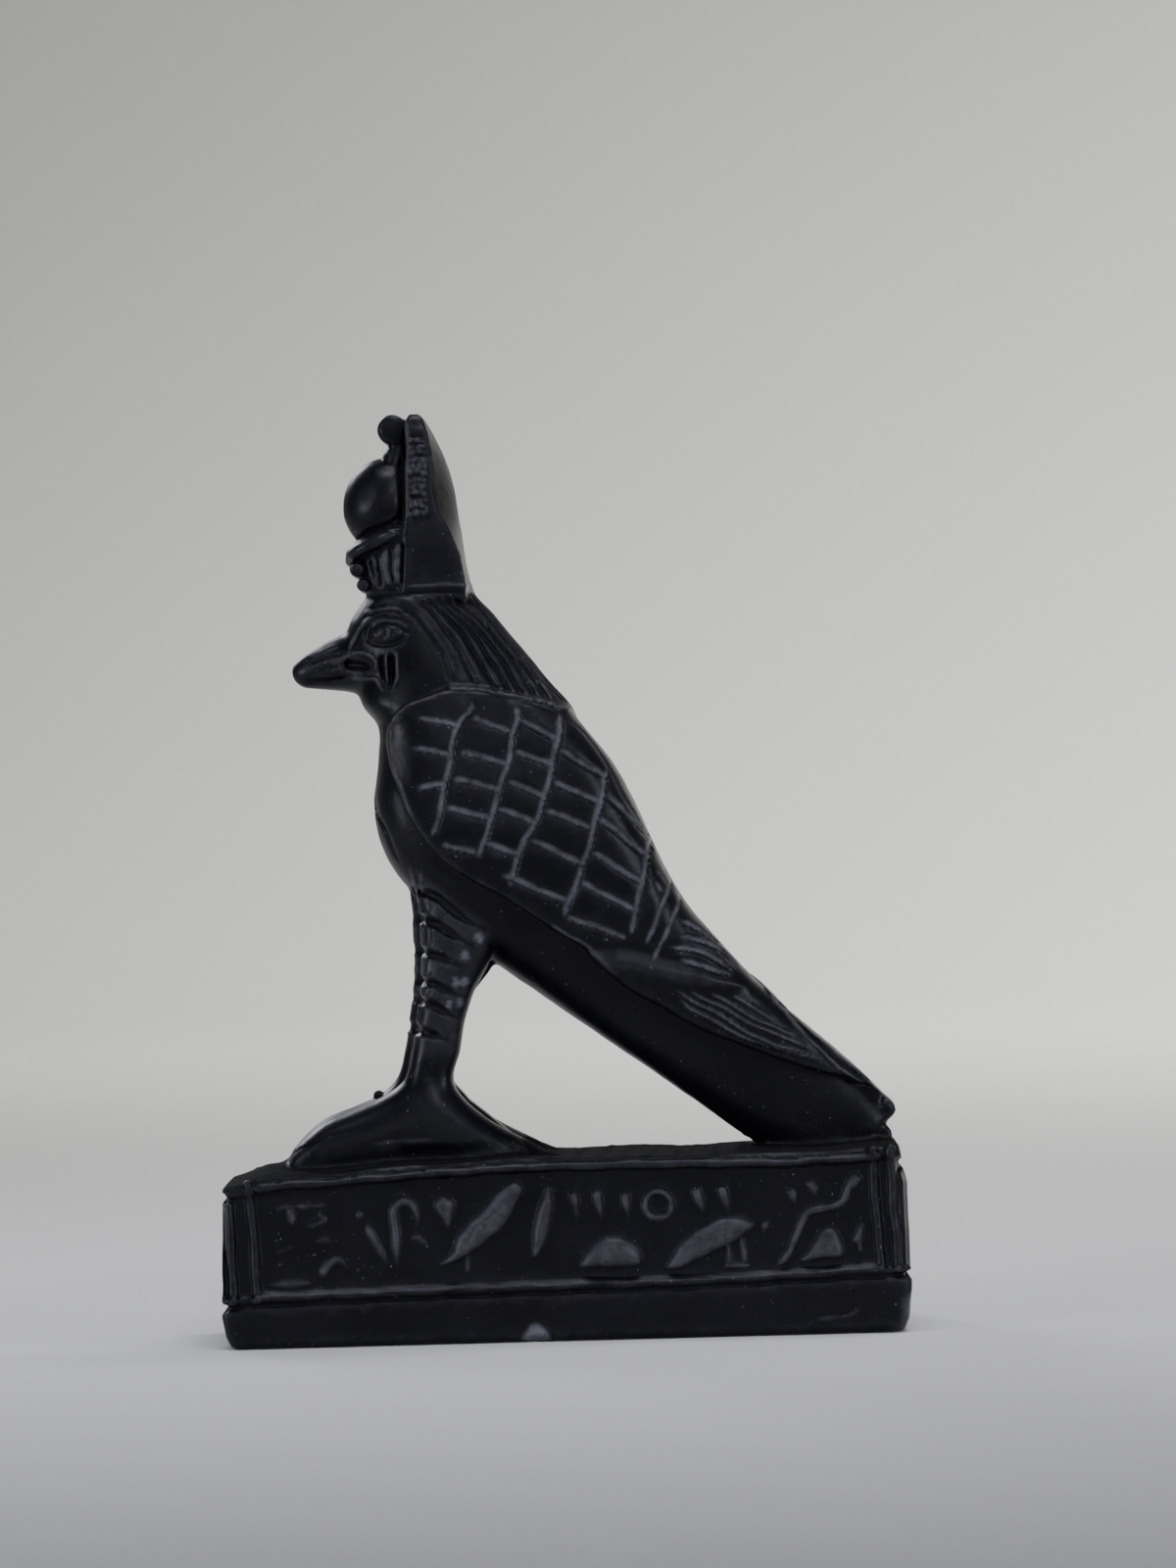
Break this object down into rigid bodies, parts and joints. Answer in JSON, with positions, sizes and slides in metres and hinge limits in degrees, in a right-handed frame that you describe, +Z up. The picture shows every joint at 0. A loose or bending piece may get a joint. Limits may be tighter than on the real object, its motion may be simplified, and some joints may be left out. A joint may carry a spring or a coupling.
{
  "type": "falcon figure",
  "caption": "Small cast figure of a crowned falcon standing on an oblong carved plinth, made in one piece.",
  "frame": {"origin": "middle of the plinth's underside, on the surface it stands on", "axes": "+Z up, the falcon faces -X along the plinth's length, +Y to the falcon's right across the plinth"},
  "size_m": [0.096, 0.035, 0.13],
  "materials": {
    "black_resin": "satin black cast resin filled with stone powder, pale dust left in the carving"
  },
  "bodies": {
    "root": {"falcon_figure": "black_resin"}
  },
  "joints": []
}
